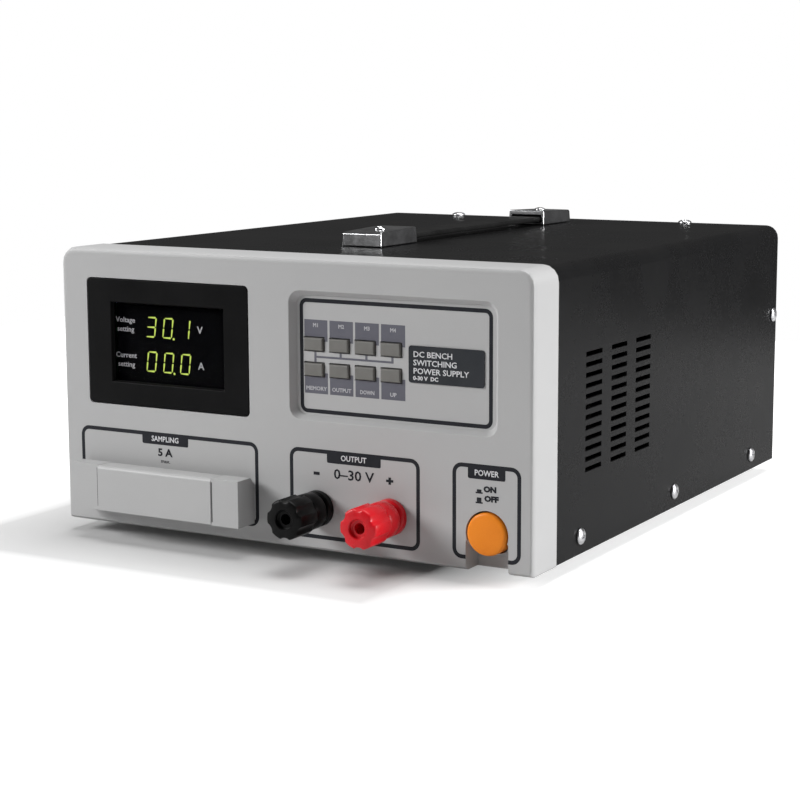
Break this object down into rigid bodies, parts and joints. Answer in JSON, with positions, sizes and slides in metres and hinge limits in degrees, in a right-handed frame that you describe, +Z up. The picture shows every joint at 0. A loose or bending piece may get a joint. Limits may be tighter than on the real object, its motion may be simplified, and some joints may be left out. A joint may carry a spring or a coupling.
{
  "type": "bench power supply",
  "caption": "Free-standing bench power supply with display, recessed keypad, binding posts, hinged terminal flap, push button, vented cover, rear fan and a flat carrying strap.",
  "frame": {"origin": "centre of the overall box, on the surface that the feet stand on", "axes": "+X to the right seen from the front, +Y from the front panel to the rear, +Z up"},
  "size_m": [0.2232, 0.2962, 0.1273],
  "materials": {
    "bezel_paint": "satin metallic paint on a moulding",
    "cover_paint": "fine-textured black powder coat",
    "zinc_steel": "zinc plated sheet",
    "foot_rubber": "matt black",
    "handle_chrome": "bright plated",
    "strap_vinyl": "smooth black vinyl over a flat spring",
    "screw_nickel": "nickel plated",
    "display_black": "black moulding",
    "window_smoke": "smoked acrylic",
    "circuit_board": "green solder mask",
    "key_grey": "matt grey",
    "button_orange": "satin orange",
    "moulded_black": "black moulding",
    "post_black": "black moulding",
    "post_red": "red moulding",
    "plated_brass": "nickel plated brass",
    "lever_red": "red moulding",
    "heat_sink_metal": "extruded",
    "transformer_core": "ferrite and taped winding",
    "capacitor_sleeve": "shrink sleeve"
  },
  "bodies": {
    "case": {"front_bezel": "bezel_paint", "sampling_housing": "bezel_paint", "top_cover": "cover_paint", "chassis_base": "zinc_steel", "rear_panel": "zinc_steel", "foot_front_left": "foot_rubber", "foot_front_right": "foot_rubber", "foot_rear_left": "foot_rubber", "foot_rear_right": "foot_rubber", "handle_cap_front": "handle_chrome", "handle_cap_rear": "handle_chrome", "fan_guard": "handle_chrome", "screw_left_1": "screw_nickel", "screw_left_2": "screw_nickel", "screw_left_3": "screw_nickel", "screw_left_back": "screw_nickel", "screw_right_1": "screw_nickel", "screw_right_2": "screw_nickel", "screw_right_3": "screw_nickel", "screw_right_back": "screw_nickel", "screw_top_left": "screw_nickel", "screw_top_right": "screw_nickel", "display_frame": "display_black", "display_window": "window_smoke", "display_board": "circuit_board", "key_board": "circuit_board", "main_board": "circuit_board", "power_switch_body": "moulded_black", "sampling_terminal_block": "moulded_black", "mains_inlet": "moulded_black", "fan_frame": "moulded_black", "post_collar_black": "post_black", "post_collar_red": "post_red", "post_stud_black": "plated_brass", "post_stud_red": "plated_brass", "heat_sink": "heat_sink_metal", "transformer": "transformer_core", "main_capacitor": "capacitor_sleeve"},
    "power_button": {"power_button": "button_orange"},
    "sampling_flap": {"sampling_flap": "bezel_paint"},
    "lever_black": {"terminal_lever_black": "moulded_black"},
    "lever_red": {"terminal_lever_red": "lever_red"},
    "washer_black": {"post_washer_black": "plated_brass"},
    "washer_red": {"post_washer_red": "plated_brass"},
    "cap_black": {"post_cap_black": "post_black"},
    "cap_red": {"post_cap_red": "post_red"},
    "strap_grip": {"strap_grip": "strap_vinyl"},
    "strap_front": {"strap_front": "strap_vinyl"},
    "strap_rear": {"strap_rear": "strap_vinyl"},
    "fan_rotor": {"fan_rotor": "moulded_black"},
    "fuse_drawer": {"fuse_drawer": "moulded_black"},
    "key_upper_1": {"key_upper_1": "key_grey"},
    "key_upper_2": {"key_upper_2": "key_grey"},
    "key_upper_3": {"key_upper_3": "key_grey"},
    "key_upper_4": {"key_upper_4": "key_grey"},
    "key_lower_1": {"key_lower_1": "key_grey"},
    "key_lower_2": {"key_lower_2": "key_grey"},
    "key_lower_3": {"key_lower_3": "key_grey"},
    "key_lower_4": {"key_lower_4": "key_grey"}
  },
  "joints": [
    {"name": "power_button_push", "type": "slide", "parent": "case", "child": "power_button", "axis": [0, 1, 0], "range_m": [-0.0035, 0.001]},
    {"name": "key_upper_1_press", "type": "slide", "parent": "case", "child": "key_upper_1", "axis": [0, 1, 0], "range_m": [0, 0.0005], "stiffness_N_per_m": 1000, "springref_m": -0.0005},
    {"name": "key_upper_2_press", "type": "slide", "parent": "case", "child": "key_upper_2", "axis": [0, 1, 0], "range_m": [0, 0.0005], "stiffness_N_per_m": 1000, "springref_m": -0.0005},
    {"name": "key_upper_3_press", "type": "slide", "parent": "case", "child": "key_upper_3", "axis": [0, 1, 0], "range_m": [0, 0.0005], "stiffness_N_per_m": 1000, "springref_m": -0.0005},
    {"name": "key_upper_4_press", "type": "slide", "parent": "case", "child": "key_upper_4", "axis": [0, 1, 0], "range_m": [0, 0.0005], "stiffness_N_per_m": 1000, "springref_m": -0.0005},
    {"name": "key_lower_1_press", "type": "slide", "parent": "case", "child": "key_lower_1", "axis": [0, 1, 0], "range_m": [0, 0.0005], "stiffness_N_per_m": 1000, "springref_m": -0.0005},
    {"name": "key_lower_2_press", "type": "slide", "parent": "case", "child": "key_lower_2", "axis": [0, 1, 0], "range_m": [0, 0.0005], "stiffness_N_per_m": 1000, "springref_m": -0.0005},
    {"name": "key_lower_3_press", "type": "slide", "parent": "case", "child": "key_lower_3", "axis": [0, 1, 0], "range_m": [0, 0.0005], "stiffness_N_per_m": 1000, "springref_m": -0.0005},
    {"name": "key_lower_4_press", "type": "slide", "parent": "case", "child": "key_lower_4", "axis": [0, 1, 0], "range_m": [0, 0.0005], "stiffness_N_per_m": 1000, "springref_m": -0.0005},
    {"name": "sampling_flap_hinge", "type": "hinge", "parent": "case", "child": "sampling_flap", "pos_m": [-0.0559, -0.1267, 0.0302], "axis": [-1, 0, 0], "range_deg": [0, 95]},
    {"name": "lever_black_press", "type": "hinge", "parent": "case", "child": "lever_black", "pos_m": [-0.0679, -0.1294, 0.02095], "axis": [-1, 0, 0], "range_deg": [0, 14], "stiffness_Nm_per_rad": 0.05, "springref_deg": -11.46},
    {"name": "lever_red_press", "type": "hinge", "parent": "case", "child": "lever_red", "pos_m": [-0.0439, -0.1294, 0.02095], "axis": [-1, 0, 0], "range_deg": [0, 14], "stiffness_Nm_per_rad": 0.05, "springref_deg": -11.46},
    {"name": "post_black_travel", "type": "slide", "parent": "case", "child": "washer_black", "axis": [0, -1, 0], "range_m": [0, 0.006]},
    {"name": "post_black_turn", "type": "hinge", "parent": "washer_black", "child": "cap_black", "pos_m": [0.016, -0.1381, 0.0224], "axis": [0, -1, 0], "range_deg": [0, 2160]},
    {"name": "post_red_travel", "type": "slide", "parent": "case", "child": "washer_red", "axis": [0, -1, 0], "range_m": [0, 0.006]},
    {"name": "post_red_turn", "type": "hinge", "parent": "washer_red", "child": "cap_red", "pos_m": [0.049, -0.1381, 0.0224], "axis": [0, -1, 0], "range_deg": [0, 2160]},
    {"name": "strap_lift", "type": "slide", "parent": "case", "child": "strap_grip", "axis": [0, 0, 1], "range_m": [0, 0.025]},
    {"name": "strap_front_draw", "type": "slide", "parent": "strap_grip", "child": "strap_front", "axis": [0, 0.2873, -0.9578], "range_m": [0, 0.0261], "deforming": ["strap_front"]},
    {"name": "strap_rear_draw", "type": "slide", "parent": "strap_grip", "child": "strap_rear", "axis": [0, -0.2873, -0.9578], "range_m": [0, 0.0261], "deforming": ["strap_rear"]},
    {"name": "fan_spin", "type": "hinge", "parent": "case", "child": "fan_rotor", "pos_m": [-0.055, 0.1319, 0.0625], "axis": [0, 1, 0], "continuous": true},
    {"name": "fuse_drawer_pull", "type": "slide", "parent": "case", "child": "fuse_drawer", "axis": [0, 1, 0], "range_m": [0, 0.012]}
  ],
  "couplings": [
    {"joint": "post_black_travel", "follows": "post_black_turn", "m_per_rad": 0.00015915},
    {"joint": "post_red_travel", "follows": "post_red_turn", "m_per_rad": 0.00015915},
    {"joint": "strap_front_draw", "follows": "strap_lift", "ratio": 1.044},
    {"joint": "strap_rear_draw", "follows": "strap_lift", "ratio": 1.044}
  ]
}
